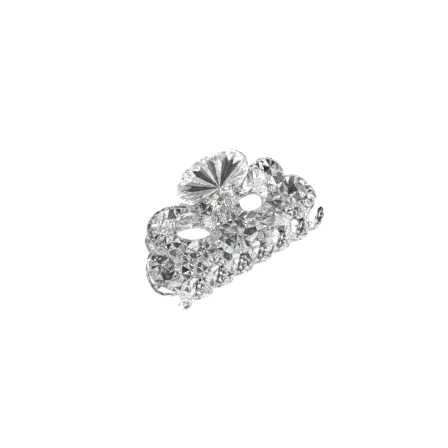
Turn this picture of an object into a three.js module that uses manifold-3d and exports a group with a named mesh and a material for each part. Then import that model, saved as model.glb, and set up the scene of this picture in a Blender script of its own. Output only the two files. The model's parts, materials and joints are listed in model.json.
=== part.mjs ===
// Faceted clear acrylic claw clip for hair: two identical moulded halves, a steel pin and a torsion spring.
// Clip frame while building: X along the hinge, Y from the teeth towards the levers, Z towards the upper half.
// At the end the clip is laid down: it rests on one lever's crown and on the other half's tooth tips.
import * as THREE from 'three';
import { mergeVertices } from 'three/addons/utils/BufferGeometryUtils.js';
import Module from 'manifold-3d';

const wasm = await Module();
wasm.setup();

// ---- driving dimensions, millimetres and degrees ----
const HALF_LENGTH = 45.5;         // hinge centre to the outermost point of an end lobe
const WALL = 3.0;                // moulded wall of the body
const TOOTH_WALL = 2.4;          // wall near the tooth tips
const BEVEL = 1.0;               // outer edge of the wall sits this far below its outer face
const RELIEF = 0.8;              // height of the cut stars above the outer face
const FACET = 4.7;               // spacing of the facet corners
const FACET_MARGIN = 1.9;        // facet corners keep this far from every rim
const FACET_ROW_OFFSET = -4.6;   // where the grid's middle row lies along the profile
const FACET_ROWS = [-7, 3];
const FACET_COLUMNS = [-12, 12];
const FACET_DIP = 0.1;           // height of the corners between the stars
const BOW = 1.2 / 45 ** 2;       // how fast the body curves inwards along its length

const TOOTH_COUNT = 7;
const TOOTH_PITCH = 11.3;
const TOOTH_SHIFT = -TOOTH_PITCH / 4;   // the other half's teeth shift the other way, so the rows interleave
const TOOTH_ROOT = -30.9;
const TOOTH_TIP = -60.4;
const ARCH_TOP = -29.0;
const ARCH_HALF_WIDTH = 1.6;
const ARCH_SAG = 0.35;
// Corners along a tooth's middle: distance along the profile and height above the outer face.
const TOOTH_RIDGE = [[-31.5, 0.5], [-36, 0.2], [-40.8, 0.6], [-46.2, 0.2], [-51.8, 0.5], [-56.6, 0.1]];

const HOLE_CENTRE = [16.5, -8.9];
const HOLE_RADII = [9.7, 5.7];
const HOLE_TILT = 18;
const HOLE_SIDES = 14;

const LEVER_RADII = [20.1, 10.6];
const LEVER_CENTRE = [5.9, 18.2];       // Y and Z of the oval's centre
const LEVER_LEAN = 25;                  // the lever leans outwards by this angle
const LEVER_STAR_DROP = 5.8;            // the facets meet this far below the oval's centre
const LEVER_WALL = 3.0;
const LEVER_SIDES = 24;
const LEVER_STAR_HEIGHT = 1.3;
const LEVER_ZIGZAG = { scale: [0.56, 0.74], height: [0.9, 0.3] };
const LEVER_BROW = { scale: [0.88], height: [0.1] };
const LEVER_EDGE = { scale: [1], height: [-0.9] };
const LEVER_BACK = { scale: [0.97], height: [-LEVER_WALL] };
const LEVER_RING_DROP = 0.6;            // share of the star's drop that the inner rings follow

const PIN_RADIUS = 0.9;
const PIN_CLEARANCE = 0.07;
const PIN_HALF_LENGTH = 10.8;
const PIN_CHAMFER = 0.25;
const EAR_RADIUS = 3.0;
const EAR_INNER = [5.6, 7.8];           // X range of the ear nearer the spring
const EAR_OUTER = [8.2, 10.4];          // X range of the ear nearer the pin's end
const EAR_FOOT = 9.0;                   // the ears run this far up, into the body's wall
const EAR_FLARE = 0.6;                  // each side of the foot is this much wider than the round end
const BORE_SIDES = 24;

const WIRE_RADIUS = 0.6;
const COIL_RADIUS = 2.2;
const COIL_PITCH = 1.45;
const COIL_END = 4.65;                  // X of the coil's last turns, clear of the ears
const COIL_SPLIT = 1.95;                // the fixed turns end here and the upper half's turn comes next
const ARM_TURNS = 0.9;
const COIL_SHARE = 0.85;                // share of the wire's curve parameter that is coil; the rest is the leg
const LEG_END = [7.0, 13.6];            // Y and Z where a spring leg bears on its lever

// The wall's outer face in the Y-Z plane at mid length, from above the loops down to a tooth's tip.
const PROFILE_START = 8;
const PROFILE = [
  [8, 13.8], [4, 12.6], [-1, 10.6], [-6, 9.2], [-11, 8.6], [-16, 8.9], [-21, 9.7], [-26, 10.2], [-30, 9.2],
  [-33.3, 6.7], [-35.4, 3.0], [-36.1, -1.5], [-35.7, -7], [-34.5, -12], [-32.6, -16.7],
];
// The wall swells into a neck that carries the lever.
const NECK_RISE = 4.0;
const NECK_START = -14;                 // along the profile
const NECK_FULL = -4;
const NECK_HALF_WIDTH = 9.5;

// One side of the body's upper outline: neck, loop, notch and end lobe, as X and distance along the profile.
const UPPER_OUTLINE = [
  [10.6, 2], [10.6, -3.2], [14, -0.2], [18.5, 2.8], [23.8, 5.0], [28.3, 5.4], [32.6, 4.2], [35.9, 1.2],
  [37.4, -2.3], [37.2, -5.6], [36.6, -7.6], [39.8, -8.4], [42.9, -10.6], [44.8, -14.2], [HALF_LENGTH, -18.2],
  [44.9, -22.2], [42.7, -25.6],
];
// The body's outline between the end lobes and the outermost teeth, and across the neck.
const RIGHT_GAP = [[39.2, -28.2], [36.6, -29.2]];
const LEFT_GAP = [[-41.4, -28.6]];
const NECK_TOP = [[-5, 2], [0, 2], [5, 2]];
// Half width of a tooth at points along the profile, from its root to its tip.
const TOOTH_OUTLINE = [
  [3.2, TOOTH_ROOT], [2.8, -34], [2.5, -38], [2.45, -43.5], [2.2, -49], [1.8, -54.5], [1.1, -59.2],
];

const rad = THREE.MathUtils.degToRad;
const clearAcrylic = new THREE.MeshStandardMaterial({
  name: 'clear_acrylic', color: 0xe4e8ec, roughness: 0.05, metalness: 0, flatShading: true,
});
const polishedSteel = new THREE.MeshStandardMaterial({
  name: 'polished_steel', color: 0xb9bcc0, roughness: 0.25, metalness: 1,
});

// ---- the wall's curved surface ----
const profileCurve = new THREE.CatmullRomCurve3(
  PROFILE.map(([y, z]) => new THREE.Vector3(0, y, z)), false, 'centripetal');
profileCurve.arcLengthDivisions = 800;
const profileLength = profileCurve.getLength();

// A point at x and distance q along the profile, raised by h from the wall's outer face.
function wallPoint(x, q, h) {
  const t = THREE.MathUtils.clamp((PROFILE_START - q) / profileLength, 0, 1);
  const p = profileCurve.getPointAt(t);
  const d = profileCurve.getTangentAt(t);
  const fade = THREE.MathUtils.clamp((q - TOOTH_TIP) / (ARCH_TOP - TOOTH_TIP), 0, 1);
  return new THREE.Vector3(x, p.y + h * d.z, p.z - h * d.y - BOW * x * x * fade);
}

function wallThickness(q) {
  const t = THREE.MathUtils.clamp((q - TOOTH_TIP) / (TOOTH_ROOT - TOOTH_TIP), 0, 1);
  return THREE.MathUtils.lerp(TOOTH_WALL, WALL, t);
}

// Extra height of the outer face where the neck swells out of it.
function neckRise([x, q]) {
  const along = THREE.MathUtils.smoothstep(q, NECK_START, NECK_FULL);
  const across = 1 - THREE.MathUtils.smoothstep(Math.abs(x), NECK_HALF_WIDTH / 2, NECK_HALF_WIDTH);
  return NECK_RISE * along * across;
}

// ---- flat pattern of the body ----
function toothPositions() {
  return Array.from({ length: TOOTH_COUNT }, (_, i) => TOOTH_SHIFT + (i - (TOOTH_COUNT - 1) / 2) * TOOTH_PITCH);
}

function mirrored(points) {
  return points.map(([x, q]) => [-x, q]).reverse();
}

function toothEdge(x) {
  const right = TOOTH_OUTLINE.map(([half, q]) => [x + half, q]);
  const left = TOOTH_OUTLINE.map(([half, q]) => [x - half, q]).reverse();
  return [...right, [x, TOOTH_TIP], ...left];
}

function archBetween(xRight, xLeft) {
  const mid = (xRight + xLeft) / 2;
  return [-1, 0, 1].map((side) => [mid - side * ARCH_HALF_WIDTH, ARCH_TOP - Math.abs(side) * ARCH_SAG]);
}

function bodyOutline() {
  const teeth = toothPositions().reverse();
  const lower = [];
  teeth.forEach((x, i) => {
    if (i > 0) lower.push(...archBetween(teeth[i - 1], x));
    lower.push(...toothEdge(x));
  });
  return [...UPPER_OUTLINE, ...RIGHT_GAP, ...lower, ...LEFT_GAP, ...mirrored(UPPER_OUTLINE), ...NECK_TOP];
}

function holeOutline(side) {
  const tilt = rad(HOLE_TILT);
  return Array.from({ length: HOLE_SIDES }, (_, i) => {
    const a = (2 * Math.PI * i) / HOLE_SIDES;
    const along = HOLE_RADII[0] * Math.cos(a);
    const across = HOLE_RADII[1] * Math.sin(a);
    const x = HOLE_CENTRE[0] + along * Math.cos(tilt) - across * Math.sin(tilt);
    return [side * x, HOLE_CENTRE[1] + along * Math.sin(tilt) + across * Math.cos(tilt)];
  });
}

function isInside(polygon, [x, y]) {
  let inside = false;
  polygon.forEach(([ax, ay], i) => {
    const [bx, by] = polygon[(i + 1) % polygon.length];
    if ((ay > y) !== (by > y) && x < ((bx - ax) * (y - ay)) / (by - ay) + ax) inside = !inside;
  });
  return inside;
}

function distanceToOutline(polygon, [x, y]) {
  const p = new THREE.Vector2(x, y);
  return Math.min(...polygon.map(([ax, ay], i) => {
    const a = new THREE.Vector2(ax, ay);
    const b = new THREE.Vector2(...polygon[(i + 1) % polygon.length]);
    const ab = b.clone().sub(a);
    const t = THREE.MathUtils.clamp(p.clone().sub(a).dot(ab) / ab.lengthSq(), 0, 1);
    return a.addScaledVector(ab, t).distanceTo(p);
  }));
}

// Corners of the cut facets: a triangular grid in which every third corner is the raised centre of a star.
function facetCorners(outline, holes) {
  const corners = [];
  const rowStep = FACET * Math.sqrt(3) / 2;
  for (let row = FACET_ROWS[0]; row <= FACET_ROWS[1]; row += 1) {
    for (let col = FACET_COLUMNS[0]; col <= FACET_COLUMNS[1]; col += 1) {
      const point = [(col + (Math.abs(row) % 2) / 2) * FACET, row * rowStep + FACET_ROW_OFFSET];
      const offset = col - Math.floor(row / 2) + 2 * row;
      const raised = ((offset % 3) + 3) % 3 === 0;
      const clear = [outline, ...holes].every((loop) => distanceToOutline(loop, point) > FACET_MARGIN);
      const onWall = isInside(outline, point) && !holes.some((hole) => isInside(hole, point));
      if (clear && onWall && point[1] > TOOTH_ROOT) corners.push({ point, h: raised ? RELIEF : FACET_DIP });
    }
  }
  for (const x of toothPositions()) {
    for (const [q, h] of TOOTH_RIDGE) corners.push({ point: [x, q], h });
  }
  return corners;
}

// ---- Delaunay triangulation of a flat point set (Bowyer-Watson) ----
function circumcircle(points, tri) {
  const [[ax, ay], [bx, by], [cx, cy]] = tri.map((i) => points[i]);
  const d = 2 * (ax * (by - cy) + bx * (cy - ay) + cx * (ay - by));
  const a2 = ax * ax + ay * ay;
  const b2 = bx * bx + by * by;
  const c2 = cx * cx + cy * cy;
  const ux = (a2 * (by - cy) + b2 * (cy - ay) + c2 * (ay - by)) / d;
  const uy = (a2 * (cx - bx) + b2 * (ax - cx) + c2 * (bx - ax)) / d;
  return { tri, ux, uy, r2: (ax - ux) ** 2 + (ay - uy) ** 2 };
}

function triangulate(flatPoints) {
  const far = 1000;
  const points = [...flatPoints, [-far, -far], [far, -far], [0, far]];
  const count = flatPoints.length;
  let circles = [circumcircle(points, [count, count + 1, count + 2])];
  for (let i = 0; i < count; i += 1) {
    const [x, y] = points[i];
    const hit = circles.filter((c) => (x - c.ux) ** 2 + (y - c.uy) ** 2 < c.r2);
    const edges = hit.flatMap(({ tri: [a, b, c] }) => [[a, b], [b, c], [c, a]]);
    const rim = edges.filter(([a, b]) => !edges.some(([p, q]) => p === b && q === a));
    circles = circles.filter((c) => !hit.includes(c));
    for (const [a, b] of rim) circles.push(circumcircle(points, [a, b, i]));
  }
  return circles.map((c) => c.tri).filter((tri) => tri.every((i) => i < count));
}

// ---- closed solids ----
function solidGeometry(positions, indices) {
  const geometry = new THREE.BufferGeometry();
  geometry.setAttribute('position', new THREE.Float32BufferAttribute(positions, 3));
  geometry.setIndex(indices);
  return geometry;
}

// A closed wall from a flat triangle pattern: outer and inner vertices in the same order, joined at the rims.
function wallSolid(outer, inner, triangles) {
  const n = outer.length;
  const edges = new Set(triangles.flatMap(([a, b, c]) => [`${a},${b}`, `${b},${c}`, `${c},${a}`]));
  const indices = [];
  for (const [a, b, c] of triangles) {
    indices.push(a, b, c, n + c, n + b, n + a);
    for (const [p, q] of [[a, b], [b, c], [c, a]]) {
      if (!edges.has(`${q},${p}`)) indices.push(p, n + p, n + q, p, n + q, q);
    }
  }
  return solidGeometry([...outer, ...inner].flatMap((v) => v.toArray()), indices);
}

function toManifold(geometry) {
  const bare = geometry.clone();
  for (const name of ['normal', 'uv']) bare.deleteAttribute(name);
  const merged = mergeVertices(bare, 1e-4);
  return new wasm.Manifold(new wasm.Mesh({
    numProp: 3,
    vertProperties: new Float32Array(merged.attributes.position.array),
    triVerts: new Uint32Array(merged.index.array),
  }));
}

function fromManifold(manifold) {
  const mesh = manifold.getMesh();
  return solidGeometry(Array.from(mesh.vertProperties), Array.from(mesh.triVerts));
}

// ---- the half's parts ----
function bodyWall() {
  const outline = bodyOutline();
  const holes = [holeOutline(1), holeOutline(-1)];
  const corners = [
    ...[...outline, ...holes.flat()].map((point) => ({ point, h: -BEVEL })),
    ...facetCorners(outline, holes),
  ];
  const flat = corners.map(({ point }) => point);
  const triangles = triangulate(flat).filter((tri) => {
    const centre = [0, 1].map((axis) => tri.reduce((sum, i) => sum + flat[i][axis] / 3, 0));
    return isInside(outline, centre) && !holes.some((hole) => isInside(hole, centre));
  });
  const outer = corners.map(({ point: [x, q], h }) => wallPoint(x, q, h + neckRise([x, q])));
  const inner = corners.map(({ point: [x, q] }) => wallPoint(x, q, -wallThickness(q)));
  return wallSolid(outer, inner, triangles);
}

// Extrudes a side view drawn as (-Z, Y) along X, starting at the given place.
function extrudeAlongX(shape, from, options) {
  const geometry = new THREE.ExtrudeGeometry(shape, { bevelEnabled: false, ...options });
  geometry.rotateY(Math.PI / 2);
  geometry.translate(from, 0, 0);
  return geometry;
}

// A point of the lever: x, distance v up the leaning oval from its centre, and height h above its face.
function leverPoint(x, v, h) {
  const lean = rad(LEVER_LEAN);
  const y = LEVER_CENTRE[0] + v * Math.cos(lean) - h * Math.sin(lean);
  return new THREE.Vector3(x, y, LEVER_CENTRE[1] + v * Math.sin(lean) + h * Math.cos(lean));
}

// The oval lever: facets run from a star low on the oval to a zigzag ring, then to the rim; the back is flat.
function leverSolid() {
  const star = -LEVER_STAR_DROP;
  const [across, along] = LEVER_RADII;
  const ring = ({ scale, height }) => Array.from({ length: LEVER_SIDES }, (_, i) => {
    const a = (2 * Math.PI * (i + 0.5)) / LEVER_SIDES;
    const s = scale[i % scale.length];
    const drop = star * (1 - s) * LEVER_RING_DROP;
    return leverPoint(across * s * Math.cos(a), along * s * Math.sin(a) + drop, height[i % height.length]);
  });
  const rings = [LEVER_ZIGZAG, LEVER_BROW, LEVER_EDGE, LEVER_BACK].map(ring);
  const vertices = [leverPoint(0, star, LEVER_STAR_HEIGHT), ...rings.flat(), leverPoint(0, 0, -LEVER_WALL)];
  const indices = [];
  const n = LEVER_SIDES;
  for (let i = 0; i < n; i += 1) {
    const j = (i + 1) % n;
    indices.push(0, 1 + i, 1 + j, vertices.length - 1, 1 + 3 * n + j, 1 + 3 * n + i);
    for (let k = 0; k < 3; k += 1) {
      const a = 1 + k * n + i;
      const b = 1 + k * n + j;
      indices.push(a, a + n, b, b, a + n, b + n);
    }
  }
  return solidGeometry(vertices.flatMap((v) => v.toArray()), indices);
}

// One ear: a plate across the hinge axis with a round end and the pin's bore, its foot buried in the wall.
function earSolid([from, to]) {
  const shape = new THREE.Shape();
  shape.moveTo(0, EAR_RADIUS);
  shape.lineTo(-EAR_FOOT, EAR_RADIUS + EAR_FLARE);
  shape.lineTo(-EAR_FOOT, -EAR_RADIUS - EAR_FLARE);
  shape.lineTo(0, -EAR_RADIUS);
  shape.absarc(0, 0, EAR_RADIUS, -Math.PI / 2, Math.PI / 2, false);
  const bore = new THREE.Path();
  bore.absarc(0, 0, (PIN_RADIUS + PIN_CLEARANCE) / Math.cos(Math.PI / BORE_SIDES), 0, 2 * Math.PI, true);
  shape.holes.push(bore);
  return extrudeAlongX(shape, from, { depth: to - from, curveSegments: BORE_SIDES / 2 });
}

// One moulded half: wall with teeth, lever and two ears, joined into one solid.
function halfGeometry() {
  const ears = [EAR_OUTER, EAR_INNER.map((x) => -x).reverse()];
  let solid = toManifold(bodyWall()).add(toManifold(leverSolid()));
  for (const span of ears) solid = solid.add(toManifold(earSolid(span)));
  return fromManifold(solid);
}

function pinGeometry() {
  const r = PIN_RADIUS;
  const end = PIN_HALF_LENGTH;
  const c = PIN_CHAMFER;
  const points = [[0, -end], [r - c, -end], [r, -end + c], [r, end - c], [r - c, end], [0, end]];
  const geometry = new THREE.LatheGeometry(points.map(([x, y]) => new THREE.Vector2(x, y)), BORE_SIDES);
  geometry.rotateZ(-Math.PI / 2);
  return geometry;
}

// Spring wire centreline: a helix about the hinge axis that leaves along a tangent to the leg's end.
class SpringCurve extends THREE.Curve {
  constructor(fromX, toX, startAngle, turns, legEnd) {
    super();
    Object.assign(this, { fromX, toX, startAngle, turns, legEnd });
  }

  helix(t) {
    const a = this.startAngle + 2 * Math.PI * this.turns * t;
    const x = THREE.MathUtils.lerp(this.fromX, this.toX, t);
    return new THREE.Vector3(x, COIL_RADIUS * Math.cos(a), COIL_RADIUS * Math.sin(a));
  }

  getPoint(t, target = new THREE.Vector3()) {
    if (t <= COIL_SHARE) return target.copy(this.helix(t / COIL_SHARE));
    const end = new THREE.Vector3(this.toX, ...this.legEnd);
    return target.copy(this.helix(1)).lerp(end, (t - COIL_SHARE) / (1 - COIL_SHARE));
  }
}

function wireGeometry(curve, steps) {
  const section = new THREE.Shape();
  section.absarc(0, 0, WIRE_RADIUS, 0, 2 * Math.PI, false);
  const path = { steps, curveSegments: 8, extrudePath: curve, bevelEnabled: false };
  return new THREE.ExtrudeGeometry(section, path);
}

// The angle on the coil from which a tangent line, wound in the given direction, reaches the leg's end.
function tangentAngle([y, z], direction) {
  const reach = Math.hypot(y, z);
  return Math.atan2(z, y) - direction * Math.acos(COIL_RADIUS / reach);
}

// The turns that stay with the lower half, with the leg that bears on the lower lever.
function springCoilGeometry() {
  const end = [LEG_END[0], -LEG_END[1]];
  const turns = (COIL_SPLIT + COIL_END) / COIL_PITCH;
  const finish = tangentAngle(end, -1);
  const curve = new SpringCurve(COIL_SPLIT, -COIL_END, finish + 2 * Math.PI * turns, -turns, end);
  return wireGeometry(curve, 120);
}

// The last turn, with the leg that bears on the upper lever and moves with it.
function springArmGeometry() {
  const finish = tangentAngle(LEG_END, 1);
  const start = COIL_END - ARM_TURNS * COIL_PITCH;
  const curve = new SpringCurve(start, COIL_END, finish - 2 * Math.PI * ARM_TURNS, ARM_TURNS, LEG_END);
  return wireGeometry(curve, 24);
}

// ---- the assembly ----
function namedMesh(name, geometry, material) {
  const mesh = new THREE.Mesh(geometry, material);
  mesh.name = name;
  return mesh;
}

// Height of a point above the hinge axis once the clip leans by the angle.
function heightAt(point, angle) {
  return point.y * Math.sin(angle) + point.z * Math.cos(angle);
}

function lowestOf(points, angle) {
  return points.reduce((low, p) => Math.min(low, heightAt(p, angle)), Infinity);
}

function worldPoints(meshes) {
  return meshes.flatMap((mesh) => {
    const { position } = mesh.geometry.attributes;
    mesh.updateMatrixWorld(true);
    return Array.from({ length: position.count }, (_, i) => (
      new THREE.Vector3().fromBufferAttribute(position, i).applyMatrix4(mesh.matrixWorld)));
  });
}

// The lean at which the lower lever's crown and the upper half's tooth tips touch one level surface.
function restingLean(points) {
  const leverSide = points.filter((p) => p.y > 0);
  const toothSide = points.filter((p) => p.y < 0);
  let [low, high] = [0, rad(20)];
  for (let step = 0; step < 40; step += 1) {
    const middle = (low + high) / 2;
    if (lowestOf(leverSide, middle) < lowestOf(toothSide, middle)) low = middle;
    else high = middle;
  }
  return low;
}

// Lays the clip down and puts the origin on the surface under the middle of its outline.
function layDown(group) {
  const points = worldPoints(group.children);
  group.rotation.x = restingLean(points);
  const box = new THREE.Box3().setFromObject(group, true);
  const centre = box.getCenter(new THREE.Vector3());
  group.position.set(-centre.x, -centre.y, -box.min.z);
}

const clip = new THREE.Group();
const upperHalf = namedMesh('upper_half', halfGeometry(), clearAcrylic);
const lowerHalf = namedMesh('lower_half', halfGeometry(), clearAcrylic);
lowerHalf.rotation.y = Math.PI;
clip.add(upperHalf, lowerHalf);
clip.add(namedMesh('hinge_pin', pinGeometry(), polishedSteel));
clip.add(namedMesh('spring_coil', springCoilGeometry(), polishedSteel));
clip.add(namedMesh('spring_arm', springArmGeometry(), polishedSteel));
layDown(clip);

export default clip;
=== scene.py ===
"""A clear, diamond-cut hair claw clip: finely cut halves, steel pin and spring, white floor, soft light."""

import json
import math
import random

import bmesh
import bpy
from mathutils import Matrix, Vector
from mathutils.geometry import delaunay_2d_cdt


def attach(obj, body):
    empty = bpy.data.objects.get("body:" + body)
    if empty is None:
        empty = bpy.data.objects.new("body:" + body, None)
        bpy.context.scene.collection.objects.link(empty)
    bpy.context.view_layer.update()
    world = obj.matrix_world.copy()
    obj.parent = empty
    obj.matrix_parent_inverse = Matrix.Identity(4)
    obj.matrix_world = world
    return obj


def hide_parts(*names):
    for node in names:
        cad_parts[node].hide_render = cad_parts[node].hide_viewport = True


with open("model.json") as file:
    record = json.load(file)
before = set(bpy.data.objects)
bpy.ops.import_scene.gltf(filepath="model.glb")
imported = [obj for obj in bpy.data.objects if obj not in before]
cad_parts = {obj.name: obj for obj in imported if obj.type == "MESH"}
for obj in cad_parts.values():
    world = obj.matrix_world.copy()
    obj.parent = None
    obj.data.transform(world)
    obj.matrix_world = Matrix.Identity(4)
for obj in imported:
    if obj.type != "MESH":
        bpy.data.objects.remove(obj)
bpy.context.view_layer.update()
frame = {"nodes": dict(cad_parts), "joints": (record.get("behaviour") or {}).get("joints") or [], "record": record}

MM = 0.001

# ---- driving dimensions of a half, millimetres and degrees, in the clip's own frame ----
# X along the hinge, Y towards the levers, Z towards the upper half, origin on the hinge's axis.
WALL = 3.0
TOOTH_WALL = 2.4
BOW = 1.2 / 45 ** 2

TOOTH_COUNT = 7
TOOTH_PITCH = 11.3
TOOTH_SHIFT = -TOOTH_PITCH / 4
TOOTH_ROOT = -30.9
TOOTH_TIP = -60.4
TIP_HALF_WIDTH = 0.6
TIP_ROUND = 0.2
ARCH_TOP = -29.0
ARCH_HALF_WIDTH = 1.6
ARCH_DROP = 0.35

HOLE_CENTRE = (16.5, -8.9)
HOLE_RADII = (9.7, 5.7)
HOLE_TILT = 18
HOLE_POINTS = 26

LEVER_RADII = (20.1, 10.6)
LEVER_CENTRE = (5.9, 18.2)
LEVER_LEAN = 25
LEVER_WALL = 3.0

PIN_BORE = 0.97
EAR_RADIUS = 3.0
EAR_FLARE = 0.6
EAR_FOOT = 9.0
EAR_SQUARENESS = 3
EAR_POINTS = 24
EAR_LEVEL = 1e-6
EAR_SPANS = ((8.2, 10.4), (-7.8, -5.6))

PROFILE_START = 8
PROFILE_STEPS = 24
PROFILE = (
    (8, 13.8), (4, 12.6), (-1, 10.6), (-6, 9.2), (-11, 8.6), (-16, 8.9), (-21, 9.7), (-26, 10.2), (-30, 9.2),
    (-33.3, 6.7), (-35.4, 3.0), (-36.1, -1.5), (-35.7, -7), (-34.5, -12), (-32.6, -16.7),
)
NECK_RISE = 4.0
NECK_START = -14
NECK_FULL = -4
NECK_HALF_WIDTH = 9.5

OUTLINE_STEPS = 2
UPPER_OUTLINE = (
    (10.6, 2), (10.6, -3.2), (14, -0.2), (18.5, 2.8), (23.8, 5.0), (28.3, 5.4), (32.6, 4.2), (35.9, 1.2),
    (37.4, -2.3), (37.2, -5.6), (36.6, -7.6), (39.8, -8.4), (42.9, -10.6), (44.8, -14.2), (45.4, -18.2),
    (44.9, -22.2), (42.7, -25.6),
)
TOOTH_OUTLINE = (
    (3.2, TOOTH_ROOT), (2.8, -34), (2.5, -38), (2.45, -43.5), (2.2, -49), (1.8, -54.5), (1.1, -59.2),
)
RIGHT_GAP = ((39.2, -28.2), (36.6, -29.2))
LEFT_GAP = ((-41.4, -28.6),)
NECK_EDGE = ((-5, 2), (0, 2), (5, 2))

# ---- how the wall's outer face is cut: millimetres, heights above the face ----
BEVEL = 1.0
RIM = 1.1
RIM_STEP = 0.4
# Depth in from the edge, height and least spacing of the two rows of corners along every edge.
RIM_ROWS = ((RIM, -0.1, 0.75), (RIM + RIM_STEP, 0.4, 0.3))
SHARP_TURN = 0.3
INSET_SHARE = 0.8

STAR_RISE = 0.9
STAR_HEIGHTS = (0.45, 0.1)
STAR_REACH = (0.86, 1.1)
STAR_SPACING = 1.0
STAR_EDGE = 1.4
STAR_MARGIN = 1.3

FACET = 3.6
FACET_HEIGHTS = (0.05, 0.8)
FACET_SPACING = 2.0
FACET_EDGE = 2.2
FACET_JITTER = 0.5
FACET_ROWS = range(-9, 4)
FACET_COLUMNS = range(-13, 14)
FACET_START = -3.4
FACET_END = TOOTH_ROOT + 1
SPLIT_SHARE = 0.6
PEAK_RISE = (0.1, 0.25)

RIDGE_COUNT = 11
RIDGE_START = 0.4
RIDGE_STEP = 2.7
RIDGE_SWAY = 0.45
RIDGE_HEIGHTS = (0.1, 0.35)
RIDGE_SPACING = 0.7

MERGE_DISTANCE = 1e-5
PATTERN_SEED = 11

# Large cut stars: centre along X and along the profile, radius, number of points, and how dark the painted
# reflections in their cuts are.
STARS = (
    (30.5, -1.0, 4.9, 12, 2.4), (36.2, -18.0, 5.6, 12, 1.6), (27.6, -15.6, 3.4, 8, 0.5),
    (-0.4, -18.4, 4.3, 10, 0.9), (-8.6, -18.2, 3.7, 8, 0.7), (8.6, -18.9, 3.8, 8, 0.5),
    (-30.5, -1.0, 4.4, 10, 0.25), (-42.2, -22.4, 3.9, 12, 0.8), (-30.0, -13.6, 4.4, 10, 1.0),
    (18.8, -21.2, 3.6, 8, 0.5), (-19.2, -21.0, 3.8, 8, 0.6),
)

# ---- how the lever is cut ----
LEVER_STAR_DROP = 5.8
LEVER_STAR_RISE = 1.25
LEVER_STAR_PULL = 0.6
LEVER_REACH = 0.985
# Rings of corners: scales of the oval, then heights, each taken in turn around the ring.
LEVER_ZIGZAG = ((0.64, 0.8, 0.6, 0.76), (0.85, 0.25, 0.95, 0.35))
LEVER_MIDDLE = ((0.86,), (0.12, -0.1))
LEVER_BROW = ((0.94,), (-0.35, -0.45))
LEVER_EDGE = ((1.0,), (-0.9,))
LEVER_SKIRT = ((0.985,), (-LEVER_WALL + 0.7,))
LEVER_BACK = ((0.97,), (-LEVER_WALL,))

# ---- facet tones: painted reflections, how light or dark each facet is painted to stand in for the room it reflects, and how much it sparkles inside with painted inner reflection, both 0 to 1 ----
PAINTED_REFLECTION_LAYER = "facet_painted_reflection"
TINT = (-0.045, 0.035)
# The first two ranges are clear facets without painted reflection; the next three are painted reflections: dark,
# grey and pale facets standing in for the dark and bright room they reflect.
PLAIN = (0.93, 1.0)
CLEAR_FACET = (0.9, 0.97)
DARK = (0.005, 0.05)
GREY = (0.3, 0.6)
PALE = (0.85, 1.0)
# Shares of cut facets painted with dark and grey reflections, and of tooth facets painted at all.
DARK_SHARE = 0.15
GREY_SHARE = 0.22
TOOTH_PAINTED_SHARE = 0.2
# How much painted inner reflection breaks up each kind of facet.
CUT_SPARKLE = 0.6
TOOTH_SPARKLE = 0.3
RIM_SPARKLE = 0.8
LEVER_SPARKLE = 0.7
# Painted reflections on the rims: mostly bright, as painted highlights along the edges, some dark.
RIM_TONES = (0.05, 0.3, 0.7, 0.95, 1.0)
# Star facets are painted with these reflections in turn around each star, out to this share of its radius.
STAR_TONED = 0.8
STAR_TONES = (0.01, 0.4, 0.03, 0.95, 0.015, 0.2, 0.05, 0.8, 0.02, 0.5)
# The raised neck's facets take one fixed light yellowish colour, without painted dark reflection and with half the
# painted inner reflection.
NECK_SMOOTH_FROM = 0.4
NECK_TONE = (1.0, 0.97, 0.88, 0.5)

# Painted reflections on the lever's long facets, how light each is painted, counter-clockwise from the +X end.
LEVER_TONES = (
    0.1, 0.006, 0.004, 0.008, 0.005, 0.02, 0.8, 0.4, 0.02, 0.06,
    0.5, 0.06, 0.006, 0.005, 0.3, 0.9, 0.1, 0.005, 0.004, 0.01,
    0.12, 0.5, 0.2, 0.8, 1.0, 0.5, 0.05, 1.0, 0.06, 1.0,
    0.1, 0.95, 0.2, 0.9, 0.2, 0.5, 0.15, 0.4, 0.12, 0.3,
)
# Choices of painted reflection for the lever's small facets between the zigzag, the middle ring and the brow.
LEVER_RING_TONES = ((0.3, 0.6, 0.85), (0.2, 0.7, 0.9), (0.4, 0.8, 0.95), (0.3, 0.7, 0.9), (0.5, 0.8, 0.95))
# Where painted dark reflections gather on the upper half: X, distance along the profile, reach and amount.
PAINTED_DARK_SPOTS = (
    (32, -1, 7, 0.7), (38, -14, 8, 0.5), (-28, -14.5, 5, 0.4), (-42, -22, 5, 0.2), (0, -20, 7, 0.2),
    (6, -13, 3, 0.15), (20, -20, 6, 0.15), (22, 1, 4, 0.5), (0, -45, 60, 0.1),
)
# Where painted dark reflections gather on the lower half.
LOWER_PAINTED_DARK_SPOTS = ((16, -3, 6, 0.6), (-16, -3, 6, 0.6))
# The upper half's facets are painted with reflections all over; the lower half's facets are left clear of them
# below this place on its profile.
UPPER_CLEAR_BELOW = 2 * TOOTH_TIP
LOWER_CLEAR_BELOW = -22

# ---- materials: metres, texture scales per metre ----
ACRYLIC_IOR = 1.49
SHARD_SCALE = 900
SHARD_SPREAD = 0.6
SHARD_DARKEST = 0.25
SHARD_DEPTH = 0.0003
STEEL_GRAIN = 2600
STEEL_DETAIL = 4
STEEL_POLISH = (0.18, 0.42)
STEEL_DARK = (0.55, 0.56, 0.58, 1)
STEEL_BRIGHT = (0.86, 0.86, 0.87, 1)
STEEL_BUMP = 0.12
STEEL_BUMP_DEPTH = 0.0001

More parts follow.
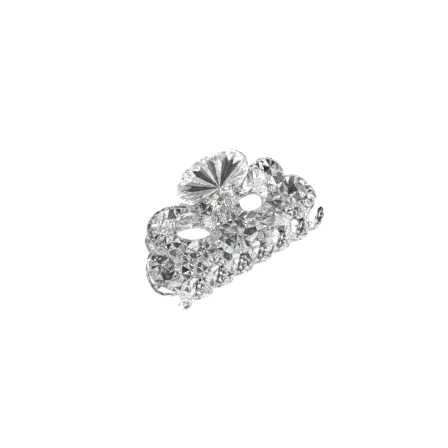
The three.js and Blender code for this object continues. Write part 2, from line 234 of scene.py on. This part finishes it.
# ---- studio: metres, watts and degrees ----
FLOOR_SIZE = 6
FLOOR_GREY = (0.3, 0.3, 0.3, 1)
FLOOR_GLOW = 0.9
WHITE = (1, 1, 1, 1)
ROOM_GREY = (0.35, 0.35, 0.36, 1)
LIGHTS = (
    ("key", (-0.5, 0.3, 0.9), 0.25, 0.25, 5),
    ("fill", (0.7, -0.3, 0.6), 0.2, 0.2, 2),
    ("rim", (0.1, 0.9, 0.4), 0.3, 0.1, 2),
)
CAMERA_PLACE = (-0.08994, -0.08507, 0.23400)
CAMERA_TURN = (28.690, -6.666, -34.890)
CAMERA_LENS = 41.9
CAMERA_SENSOR = 36
CAMERA_CLIP = 0.01


# ---- the wall's curved surface ----
def catmull_rom(points, steps):
    """A centripetal curve through the points, as a dense list of vectors."""
    pts = [Vector(p) for p in points]
    pts = [2 * pts[0] - pts[1], *pts, 2 * pts[-1] - pts[-2]]
    curve = []
    for p0, p1, p2, p3 in zip(pts, pts[1:], pts[2:], pts[3:]):
        t1 = math.sqrt((p1 - p0).length)
        t2 = t1 + math.sqrt((p2 - p1).length)
        t3 = t2 + math.sqrt((p3 - p2).length)
        for step in range(steps):
            t = t1 + (t2 - t1) * step / steps
            a1 = p0 * ((t1 - t) / t1) + p1 * (t / t1)
            a2 = p1 * ((t2 - t) / (t2 - t1)) + p2 * ((t - t1) / (t2 - t1))
            a3 = p2 * ((t3 - t) / (t3 - t2)) + p3 * ((t - t2) / (t3 - t2))
            b1 = a1 * ((t2 - t) / t2) + a2 * (t / t2)
            b2 = a2 * ((t3 - t) / (t3 - t1)) + a3 * ((t - t1) / (t3 - t1))
            curve.append(b1 * ((t2 - t) / (t2 - t1)) + b2 * ((t - t1) / (t2 - t1)))
    curve.append(pts[-2])
    return curve


def running_lengths(curve):
    lengths = [0.0]
    for a, b in zip(curve, curve[1:]):
        lengths.append(lengths[-1] + (b - a).length)
    return lengths


PROFILE_CURVE = catmull_rom(PROFILE, PROFILE_STEPS)
PROFILE_LENGTHS = running_lengths(PROFILE_CURVE)


def clamp(value, low=0.0, high=1.0):
    return max(low, min(high, value))


def smoothstep(value, low, high):
    t = clamp((value - low) / (high - low))
    return t * t * (3 - 2 * t)


def profile_at(q):
    """Point and tangent of the wall's outer face at q; the tangent spans a few steps of the curve."""
    s = clamp(PROFILE_START - q, 0.0, PROFILE_LENGTHS[-1])
    i = 1
    while i < len(PROFILE_LENGTHS) - 1 and PROFILE_LENGTHS[i] < s:
        i += 1
    a, b = PROFILE_CURVE[i - 1], PROFILE_CURVE[i]
    t = (s - PROFILE_LENGTHS[i - 1]) / (PROFILE_LENGTHS[i] - PROFILE_LENGTHS[i - 1])
    before = PROFILE_CURVE[max(i - 3, 0)]
    after = PROFILE_CURVE[min(i + 2, len(PROFILE_CURVE) - 1)]
    return a.lerp(b, t), (after - before).normalized()


def wall_point(x, q, h):
    """The point over the flat pattern's x and q, at height h above the outer face."""
    p, d = profile_at(q)
    fade = clamp((q - TOOTH_TIP) / (ARCH_TOP - TOOTH_TIP))
    return Vector((x, p.x + h * d.y, p.y - h * d.x - BOW * x * x * fade))


def wall_thickness(q):
    t = clamp((q - TOOTH_TIP) / (TOOTH_ROOT - TOOTH_TIP))
    return TOOTH_WALL + (WALL - TOOTH_WALL) * t


def neck_rise(x, q):
    along = smoothstep(q, NECK_START, NECK_FULL)
    across = 1 - smoothstep(abs(x), NECK_HALF_WIDTH / 2, NECK_HALF_WIDTH)
    return NECK_RISE * along * across


# ---- flat pattern of the body ----
def tooth_positions():
    return [TOOTH_SHIFT + (i - (TOOTH_COUNT - 1) / 2) * TOOTH_PITCH for i in range(TOOTH_COUNT)]


def mirrored(points):
    return [(-x, q) for x, q in reversed(points)]


def smooth(points, steps):
    return [tuple(p) for p in catmull_rom(points, steps)]


def tooth_edge(x):
    right = [(x + half, q) for half, q in TOOTH_OUTLINE]
    left = [(x - half, q) for half, q in reversed(TOOTH_OUTLINE)]
    shoulder = TOOTH_TIP + TIP_ROUND
    return [*right, (x + TIP_HALF_WIDTH, shoulder), (x, TOOTH_TIP), (x - TIP_HALF_WIDTH, shoulder), *left]


def arch_between(x_right, x_left):
    mid = (x_right + x_left) / 2
    foot = ARCH_TOP - ARCH_DROP
    return [(mid + ARCH_HALF_WIDTH, foot), (mid, ARCH_TOP), (mid - ARCH_HALF_WIDTH, foot)]


def body_outline():
    teeth = tooth_positions()[::-1]
    lower = tooth_edge(teeth[0])
    for before, x in zip(teeth, teeth[1:]):
        lower += arch_between(before, x) + tooth_edge(x)
    upper = smooth(UPPER_OUTLINE, OUTLINE_STEPS)
    return [*upper, *RIGHT_GAP, *lower, *LEFT_GAP, *mirrored(upper), *NECK_EDGE]


def hole_outline(side):
    tilt = math.radians(HOLE_TILT)
    loop = []
    for i in range(HOLE_POINTS):
        a = 2 * math.pi * i / HOLE_POINTS
        along = HOLE_RADII[0] * math.cos(a)
        across = HOLE_RADII[1] * math.sin(a)
        x = HOLE_CENTRE[0] + along * math.cos(tilt) - across * math.sin(tilt)
        loop.append((side * x, HOLE_CENTRE[1] + along * math.sin(tilt) + across * math.cos(tilt)))
    return loop


def is_inside(loop, x, y):
    inside = False
    for (ax, ay), (bx, by) in zip(loop, [*loop[1:], loop[0]]):
        if (ay > y) != (by > y) and x < (bx - ax) * (y - ay) / (by - ay) + ax:
            inside = not inside
    return inside


def is_on_body(x, y, outline, holes):
    return is_inside(outline, x, y) and not any(is_inside(hole, x, y) for hole in holes)


def distance_to(loop, x, y):
    best = math.inf
    for (ax, ay), (bx, by) in zip(loop, [*loop[1:], loop[0]]):
        ex, ey = bx - ax, by - ay
        t = clamp(((x - ax) * ex + (y - ay) * ey) / (ex * ex + ey * ey))
        best = min(best, math.hypot(ax + ex * t - x, ay + ey * t - y))
    return best


def edge_distance(x, y, outline, holes):
    return min(distance_to(loop, x, y) for loop in (outline, *holes))


def inset(loop, depth, inward):
    """Points a given depth inside a loop, leaving out those that come too near another stretch of it."""
    points = []
    n = len(loop)
    for i in range(n):
        a, b, c = Vector(loop[i - 1]), Vector(loop[i]), Vector(loop[(i + 1) % n])
        direction = (b - a).normalized() + (c - b).normalized()
        if direction.length < SHARP_TURN:
            continue
        direction.normalize()
        p = b + inward * depth * Vector((direction.y, -direction.x))
        if distance_to(loop, p.x, p.y) > depth * INSET_SHARE:
            points.append((p.x, p.y))
    return points


class Pattern:
    """Flat facet corners, each with its height above the wall's outer face."""

    def __init__(self):
        self.corners = []

    def add(self, x, q, h, spacing):
        if all(math.hypot(x - cx, q - cy) > spacing for cx, cy, _ in self.corners):
            self.corners.append((x, q, h))


def add_rims(pattern, outline, holes):
    """Two rows of corners along every edge; the raised one stops at the teeth."""
    for depth, height, spacing in RIM_ROWS:
        for loop, inward in [(outline, 1), *((hole, -1) for hole in holes)]:
            for x, q in inset(loop, depth, inward):
                if is_inside(outline, x, q) and (q > TOOTH_ROOT or height < 0):
                    pattern.add(x, q, height, spacing)


def add_stars(pattern, outline, holes):
    for x, q, radius, points, _ in STARS:
        pattern.add(x, q, STAR_RISE, STAR_SPACING)
        for i in range(points):
            a = 2 * math.pi * (i + 0.5) / points
            reach = radius * STAR_REACH[i % 2]
            px, py = x + reach * math.cos(a), q + reach * math.sin(a)
            if is_inside(outline, px, py) and edge_distance(px, py, outline, holes) > STAR_EDGE:
                pattern.add(px, py, STAR_HEIGHTS[i % 2], STAR_SPACING)


def is_on_star(x, q):
    return any(math.hypot(x - sx, q - sq) < radius + STAR_MARGIN for sx, sq, radius, _, _ in STARS)


def add_field(pattern, outline, holes, rng):
    """Loose rows of corners between the stars, every third one raised."""
    row_step = FACET * math.sqrt(3) / 2
    for row in FACET_ROWS:
        for col in FACET_COLUMNS:
            x = (col + (row % 2) / 2) * FACET + rng.uniform(-FACET_JITTER, FACET_JITTER)
            q = row * row_step + FACET_START + rng.uniform(-FACET_JITTER, FACET_JITTER)
            if edge_distance(x, q, outline, holes) < FACET_EDGE or not is_on_body(x, q, outline, holes):
                continue
            if q < FACET_END or is_on_star(x, q):
                continue
            raised = (col - row // 2 + 2 * row) % 3 == 0
            pattern.add(x, q, FACET_HEIGHTS[raised], FACET_SPACING)


def add_ridges(pattern):
    """A wandering row of corners down the middle of each tooth."""
    for x in tooth_positions():
        for step in range(RIDGE_COUNT):
            q = TOOTH_ROOT - RIDGE_START - step * RIDGE_STEP
            side = (step % 3 - 1) * RIDGE_SWAY
            pattern.add(x + side, q, RIDGE_HEIGHTS[step % 2], RIDGE_SPACING)


def facet_pattern(outline, holes, rng):
    pattern = Pattern()
    add_rims(pattern, outline, holes)
    add_stars(pattern, outline, holes)
    add_field(pattern, outline, holes, rng)
    add_ridges(pattern)
    return pattern.corners


# ---- facet tones ----
class Tones:
    """Picks each facet's colour, which carries its painted reflection, by a seeded rule: star, neck or unpainted
    clear stretch first, otherwise chance.
    """

    def __init__(self, seed, strength, spots, clear_below):
        self.clear_below = clear_below
        self.rng = random.Random(seed)
        self.strength = strength
        self.spots = spots

    def colour(self, light, sparkle=1.0):
        """A facet's colour, which carries its painted reflection, with a trace of blue or yellow; its alpha says
        how much it sparkles inside with painted inner reflection.
        """
        tint = self.rng.uniform(*TINT)
        return (clamp(light * (1 + tint)), light, clamp(light * (1 - tint)), sparkle)

    def plain(self):
        return self.colour(self.rng.uniform(*PLAIN), 0.0)

    # Painted reflections on the rims: mostly bright, as painted highlights along the edges, some dark.
    def rim(self):
        return self.colour(self.rng.choice(RIM_TONES), RIM_SPARKLE)

    def gathered(self, x, q):
        """How much the share of facets painted with dark reflections grows here, from the spots where they gather.
        """
        return sum(
            amount * math.exp(-((x - sx) ** 2 + (q - sq) ** 2) / reach ** 2)
            for sx, sq, reach, amount in self.spots
        )

    # A cut facet's painted reflection: star facets dark or light in turn, neck facets light, clear stretches
    # unpainted, tooth facets mostly plain, the rest dark, grey or pale by chance.
    def cut(self, x, q):
        for sx, sq, radius, points, depth in STARS:
            if math.hypot(x - sx, q - sq) < radius * STAR_TONED:
                turn = math.atan2(q - sq, x - sx) / (2 * math.pi) * points - 0.5
                light = STAR_TONES[math.floor(turn) % len(STAR_TONES)]
                return self.colour(light ** (depth * self.strength))
        if neck_rise(x, q) > NECK_SMOOTH_FROM * NECK_RISE:
            return NECK_TONE
        if q < self.clear_below:
            return self.colour(self.rng.uniform(*CLEAR_FACET), 0.0)
        dark = self.strength * (DARK_SHARE + self.gathered(x, q))
        pick = self.rng.random()
        if q < TOOTH_ROOT and pick > TOOTH_PAINTED_SHARE:
            return self.colour(self.rng.uniform(*PLAIN), TOOTH_SPARKLE)
        if pick < dark:
            return self.colour(self.rng.uniform(*DARK), CUT_SPARKLE)
        if pick < dark + GREY_SHARE * self.strength:
            return self.colour(self.rng.uniform(*GREY))
        return self.colour(self.rng.uniform(*PALE), CUT_SPARKLE)


# ---- solids ----
def triangulate(outline, holes, rng):
    """The flat pattern as corners, their heights, and the triangles that lie on the body."""
    loops = (outline, *holes)
    corners = [(x, q, -BEVEL) for loop in loops for x, q in loop] + facet_pattern(outline, holes, rng)
    edges = []
    start = 0
    for loop in loops:
        n = len(loop)
        edges += [(start + i, start + (i + 1) % n) for i in range(n)]
        start += n
    places = [Vector(corner[:2]) for corner in corners]
    flat, _, faces, sources, _, _ = delaunay_2d_cdt(places, edges, [], 0, MERGE_DISTANCE)
    heights = [corners[source[0]][2] if source else -BEVEL for source in sources]
    kept = []
    for face in faces:
        cx = sum(flat[i].x for i in face) / 3
        cy = sum(flat[i].y for i in face) / 3
        if is_on_body(cx, cy, outline, holes):
            kept.append(face)
    return flat, heights, kept


def wall_mesh(bm, rng, tones):
    """The curved wall: cut facets outside, some split to a peak, a plain inner face, and sides between."""
    layer = bm.faces.layers.float_color.new(PAINTED_REFLECTION_LAYER)
    outline = body_outline()
    holes = [hole_outline(1), hole_outline(-1)]
    flat, heights, triangles = triangulate(outline, holes, rng)
    outer = [bm.verts.new(wall_point(p.x, p.y, h + neck_rise(p.x, p.y))) for p, h in zip(flat, heights)]
    inner = [bm.verts.new(wall_point(p.x, p.y, -wall_thickness(p.y))) for p in flat]
    directed = set()
    for a, b, c in triangles:
        directed |= {(a, b), (b, c), (c, a)}
        centre = (flat[a] + flat[b] + flat[c]) / 3
        on_rim = min(heights[a], heights[b], heights[c]) < 0 and centre.y > TOOTH_ROOT
        corners_up = [outer[a], outer[b], outer[c]]
        if on_rim or centre.y < TOOTH_ROOT or rng.random() > SPLIT_SHARE:
            # Outer facets are coloured with painted reflections; the inner face and the sides stay plain.
            tone = tones.rim() if on_rim else tones.cut(centre.x, centre.y)
            bm.faces.new(corners_up)[layer] = tone
        else:
            raised = (heights[a] + heights[b] + heights[c]) / 3 + rng.uniform(*PEAK_RISE)
            peak = bm.verts.new(wall_point(centre.x, centre.y, raised + neck_rise(centre.x, centre.y)))
            for p, r in zip(corners_up, corners_up[1:] + corners_up[:1]):
                bm.faces.new((p, r, peak))[layer] = tones.cut(centre.x, centre.y)
        bm.faces.new((inner[c], inner[b], inner[a]))[layer] = tones.plain()
    for a, b in sorted(directed):
        if (b, a) not in directed:
            bm.faces.new((outer[a], inner[a], inner[b], outer[b]))[layer] = tones.plain()
    bmesh.ops.delete(bm, geom=[v for v in bm.verts if not v.link_faces], context="VERTS")


def lever_point(x, v, h):
    lean = math.radians(LEVER_LEAN)
    y = LEVER_CENTRE[0] + v * math.cos(lean) - h * math.sin(lean)
    return Vector((x, y, LEVER_CENTRE[1] + v * math.sin(lean) + h * math.cos(lean)))


def lever_mesh(bm, tones):
    """An oval plate: long facets fan from a star low on the oval to a zigzag, and small ones ring them."""
    layer = bm.faces.layers.float_color.new(PAINTED_REFLECTION_LAYER)
    wedges = len(LEVER_TONES)
    star = -LEVER_STAR_DROP
    reach = (LEVER_RADII[0] * LEVER_REACH, LEVER_RADII[1] * LEVER_REACH)

    def ring(count, turn, scales, heights):
        loop = []
        for i in range(count):
            a = 2 * math.pi * (i + turn) / count
            s = scales[i % len(scales)]
            drop = star * (1 - s) * LEVER_STAR_PULL
            x, v = reach[0] * s * math.cos(a), reach[1] * s * math.sin(a) + drop
            loop.append(bm.verts.new(lever_point(x, v, heights[i % len(heights)])))
        return loop

    def facet(verts, light, sparkle):
        bm.faces.new(verts)[layer] = tones.colour(light, sparkle)

    centre = bm.verts.new(lever_point(0, star, LEVER_STAR_RISE))
    zigzag = ring(wedges, 0.5, *LEVER_ZIGZAG)
    middle = ring(wedges, 0, *LEVER_MIDDLE)
    brow = ring(2 * wedges, 0.25, *LEVER_BROW)
    edge = ring(2 * wedges, 0.25, *LEVER_EDGE)
    skirt = ring(2 * wedges, 0.25, *LEVER_SKIRT)
    back = ring(2 * wedges, 0.25, *LEVER_BACK)
    # The long and small facets are coloured with painted reflections; the brow, edge, skirt and back stay plain.
    for i in range(wedges):
        j = (i + 1) % wedges
        first, second, third = brow[2 * i], brow[2 * i + 1], brow[(2 * i + 2) % (2 * wedges)]
        facet((centre, zigzag[i], zigzag[j]), LEVER_TONES[i], LEVER_SPARKLE)
        small = (
            (zigzag[i], middle[i], middle[j]), (zigzag[i], middle[j], zigzag[j]),
            (middle[i], first, second), (middle[i], second, middle[j]), (middle[j], second, third),
        )
        for verts, choices in zip(small, LEVER_RING_TONES):
            facet(verts, tones.rng.choice(choices), 1.0)
    for low, high in ((brow, edge), (edge, skirt), (skirt, back)):
        for i in range(2 * wedges):
            j = (i + 1) % (2 * wedges)
            facet((low[i], high[i], high[j], low[j]), 1.0, 0.0)
    facet(back[::-1], 1.0, 0.0)


def ear_mesh(bm, span, tones):
    """A plate with a round end and the pin's bore, its foot buried in the wall."""
    layer = bm.faces.layers.float_color.new(PAINTED_REFLECTION_LAYER)
    outer, bore = [], []
    for i in range(EAR_POINTS):
        a = 2 * math.pi * i / EAR_POINTS
        y, z = EAR_RADIUS * math.cos(a), EAR_RADIUS * math.sin(a)
        if z > EAR_LEVEL:
            spread = min(1, abs(y) * EAR_SQUARENESS / EAR_RADIUS)
            y, z = math.copysign(EAR_RADIUS + EAR_FLARE, y) * spread, EAR_FOOT
        outer.append((y, z))
        bore.append((PIN_BORE * math.cos(a), PIN_BORE * math.sin(a)))
    rings = [[bm.verts.new(Vector((x, y, z))) for y, z in loop] for x in span for loop in (outer, bore)]
    near_out, near_bore, far_out, far_bore = rings
    for i in range(EAR_POINTS):
        j = (i + 1) % EAR_POINTS
        bm.faces.new((near_out[j], near_out[i], near_bore[i], near_bore[j]))
        bm.faces.new((far_out[i], far_out[j], far_bore[j], far_bore[i]))
        bm.faces.new((near_out[i], near_out[j], far_out[j], far_out[i]))
        bm.faces.new((near_bore[j], near_bore[i], far_bore[i], far_bore[j]))
    for face in bm.faces:
        face[layer] = tones.plain()


def mesh_object(name, build, *args):
    bm = bmesh.new()
    build(bm, *args)
    bmesh.ops.recalc_face_normals(bm, faces=bm.faces)
    mesh = bpy.data.meshes.new(name)
    bm.to_mesh(mesh)
    bm.free()
    obj = bpy.data.objects.new(name, mesh)
    bpy.context.scene.collection.objects.link(obj)
    return obj


def join_solids(base, others):
    """Joins closed solids into the first by exact boolean unions."""
    for other in others:
        cut = base.modifiers.new("join", "BOOLEAN")
        cut.operation = "UNION"
        cut.solver = "EXACT"
        cut.object = other
    depsgraph = bpy.context.evaluated_depsgraph_get()
    mesh = bpy.data.meshes.new_from_object(base.evaluated_get(depsgraph))
    base.modifiers.clear()
    base.data = mesh
    for other in others:
        bpy.data.objects.remove(other)


def clip_to_part():
    """Carries the clip's own frame to the part's, by the lever back's direction and the hinge's place."""
    mounts = {m["name"]: m for m in frame["record"]["mounts"]}
    _, y, z = mounts["upper_lever_back"]["axis"]
    lean = math.atan2(z, y) + math.radians(90 - LEVER_LEAN)
    hinge = Vector(frame["joints"][0]["pos_m"])
    return Matrix.Translation(hinge) @ Matrix.Rotation(lean, 4, "X") @ Matrix.Scale(MM, 4)


# ---- materials ----
def principled(name):
    mat = bpy.data.materials.new(name)
    mat.use_nodes = True
    return mat, mat.node_tree, mat.node_tree.nodes["Principled BSDF"]


def clear_acrylic():
    """Clear plastic in each facet's colour, which carries its painted reflection, broken into fine shards by as
    much as the facet sparkles: cells of painted inner reflection that darken the colour, and tiny cut facets in
    the normals.
    """
    mat, tree, bsdf = principled("clear_acrylic_cut")
    bsdf.inputs["IOR"].default_value = ACRYLIC_IOR
    bsdf.inputs["Transmission Weight"].default_value = 1.0
    bsdf.inputs["Roughness"].default_value = 0.0
    tone = tree.nodes.new("ShaderNodeAttribute")
    tone.attribute_name = PAINTED_REFLECTION_LAYER
    place = tree.nodes.new("ShaderNodeTexCoord")
    shards = tree.nodes.new("ShaderNodeTexVoronoi")
    shards.distance = "MANHATTAN"
    shards.inputs["Scale"].default_value = SHARD_SCALE
    shards.inputs["Randomness"].default_value = 1.0
    spread = tree.nodes.new("ShaderNodeMapRange")
    spread.inputs["From Max"].default_value = SHARD_SPREAD
    spread.inputs["To Min"].default_value = SHARD_DARKEST
    spread.inputs["To Max"].default_value = 1.0
    # Painted inner reflections: the facet's colour darkened cell by cell, by as much as its alpha says.
    shade = tree.nodes.new("ShaderNodeMix")
    shade.data_type = "RGBA"
    shade.blend_type = "MULTIPLY"
    tree.links.new(tone.outputs["Alpha"], shade.inputs["Factor"])
    split = tree.nodes.new("ShaderNodeSeparateColor")
    tree.links.new(place.outputs["Object"], shards.inputs["Vector"])
    tree.links.new(shards.outputs["Color"], split.inputs["Color"])
    tree.links.new(split.outputs["Red"], spread.inputs["Value"])
    tree.links.new(tone.outputs["Color"], shade.inputs["A"])
    tree.links.new(spread.outputs["Result"], shade.inputs["B"])
    tree.links.new(shade.outputs["Result"], bsdf.inputs["Base Color"])
    cuts = tree.nodes.new("ShaderNodeBump")
    cuts.inputs["Distance"].default_value = SHARD_DEPTH
    tree.links.new(tone.outputs["Alpha"], cuts.inputs["Strength"])
    tree.links.new(shards.outputs["Distance"], cuts.inputs["Height"])
    tree.links.new(cuts.outputs["Normal"], bsdf.inputs["Normal"])
    return mat


def drawn_steel():
    """Bright spring steel with a fine grain in its polish, its grey and its surface."""
    mat, tree, bsdf = principled("drawn_steel")
    bsdf.inputs["Metallic"].default_value = 1.0
    place = tree.nodes.new("ShaderNodeTexCoord")
    grain = tree.nodes.new("ShaderNodeTexNoise")
    grain.inputs["Scale"].default_value = STEEL_GRAIN
    grain.inputs["Detail"].default_value = STEEL_DETAIL
    polish = tree.nodes.new("ShaderNodeMapRange")
    polish.inputs["To Min"].default_value = STEEL_POLISH[0]
    polish.inputs["To Max"].default_value = STEEL_POLISH[1]
    grey = tree.nodes.new("ShaderNodeValToRGB")
    grey.color_ramp.elements[0].color = STEEL_DARK
    grey.color_ramp.elements[1].color = STEEL_BRIGHT
    bump = tree.nodes.new("ShaderNodeBump")
    bump.inputs["Strength"].default_value = STEEL_BUMP
    bump.inputs["Distance"].default_value = STEEL_BUMP_DEPTH
    tree.links.new(place.outputs["Object"], grain.inputs["Vector"])
    tree.links.new(grain.outputs["Fac"], polish.inputs["Value"])
    tree.links.new(polish.outputs["Result"], bsdf.inputs["Roughness"])
    tree.links.new(grain.outputs["Fac"], grey.inputs["Fac"])
    tree.links.new(grey.outputs["Color"], bsdf.inputs["Base Color"])
    tree.links.new(grain.outputs["Fac"], bump.inputs["Height"])
    tree.links.new(bump.outputs["Normal"], bsdf.inputs["Normal"])
    return mat


# ---- the two halves ----
def build_half(name, node, body, turn, tones, acrylic):
    """One cut half in place of its CAD node; both halves are cut to the same pattern."""
    rng = random.Random(PATTERN_SEED)
    wall = mesh_object(name, wall_mesh, rng, tones)
    lever = mesh_object(name + "_lever", lever_mesh, tones)
    ears = [mesh_object(f"{name}_ear{i}", ear_mesh, span, tones) for i, span in enumerate(EAR_SPANS)]
    join_solids(wall, [lever, *ears])
    wall.data.transform(clip_to_part() @ turn)
    wall.data.materials.append(acrylic)
    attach(wall, body)
    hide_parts(node)


# ---- floor, light and camera ----
def build_floor():
    bpy.ops.mesh.primitive_plane_add(size=FLOOR_SIZE)
    floor = bpy.context.object
    floor.name = "floor"
    mat, _, bsdf = principled("floor_white")
    bsdf.inputs["Base Color"].default_value = FLOOR_GREY
    bsdf.inputs["Roughness"].default_value = 1
    bsdf.inputs["Emission Color"].default_value = WHITE
    bsdf.inputs["Emission Strength"].default_value = FLOOR_GLOW
    floor.data.materials.append(mat)


def build_lights():
    """Rectangular lights, each facing the clip."""
    for name, place, width, height, watts in LIGHTS:
        data = bpy.data.lights.new(name, "AREA")
        data.shape = "RECTANGLE"
        data.size = width
        data.size_y = height
        data.energy = watts
        light = bpy.data.objects.new(name, data)
        light.location = place
        light.rotation_euler = (-Vector(place)).to_track_quat("-Z", "Y").to_euler()
        bpy.context.scene.collection.objects.link(light)


def build_world():
    """A white backdrop to the camera and a dim room to the plastic and the steel."""
    world = bpy.data.worlds.new("studio")
    bpy.context.scene.world = world
    world.use_nodes = True
    nodes, links = world.node_tree.nodes, world.node_tree.links
    room = nodes["Background"]
    room.inputs["Color"].default_value = ROOM_GREY
    backdrop = nodes.new("ShaderNodeBackground")
    backdrop.inputs["Color"].default_value = WHITE
    rays = nodes.new("ShaderNodeLightPath")
    choose = nodes.new("ShaderNodeMixShader")
    links.new(rays.outputs["Is Camera Ray"], choose.inputs[0])
    links.new(room.outputs[0], choose.inputs[1])
    links.new(backdrop.outputs[0], choose.inputs[2])
    links.new(choose.outputs[0], nodes["World Output"].inputs["Surface"])


def build_camera():
    data = bpy.data.cameras.new("camera")
    data.lens = CAMERA_LENS
    data.sensor_width = CAMERA_SENSOR
    data.clip_start = CAMERA_CLIP
    camera = bpy.data.objects.new("camera", data)
    camera.location = CAMERA_PLACE
    camera.rotation_euler = [math.radians(angle) for angle in CAMERA_TURN]
    bpy.context.scene.collection.objects.link(camera)
    bpy.context.scene.camera = camera


acrylic = clear_acrylic()
as_built = Matrix.Identity(4)
turned_over = Matrix.Rotation(math.pi, 4, "Y")
# The lower half is painted with fainter reflections than the upper, and its dark ones gather at other spots.
upper_tones = Tones(seed=1, strength=1.0, spots=PAINTED_DARK_SPOTS, clear_below=UPPER_CLEAR_BELOW)
lower_tones = Tones(seed=2, strength=0.6, spots=LOWER_PAINTED_DARK_SPOTS, clear_below=LOWER_CLEAR_BELOW)
build_half("upper_cut_half", "upper_half", "upper_jaw", as_built, upper_tones, acrylic)
build_half("lower_cut_half", "lower_half", "lower_jaw", turned_over, lower_tones, acrylic)
steel = drawn_steel()
for steel_node in ("hinge_pin", "spring_coil", "spring_arm"):
    frame["nodes"][steel_node].data.materials.clear()
    frame["nodes"][steel_node].data.materials.append(steel)
build_floor()
build_lights()
build_world()
build_camera()
bpy.context.scene.view_settings.view_transform = "Standard"
bpy.context.scene.cycles.use_denoising = True
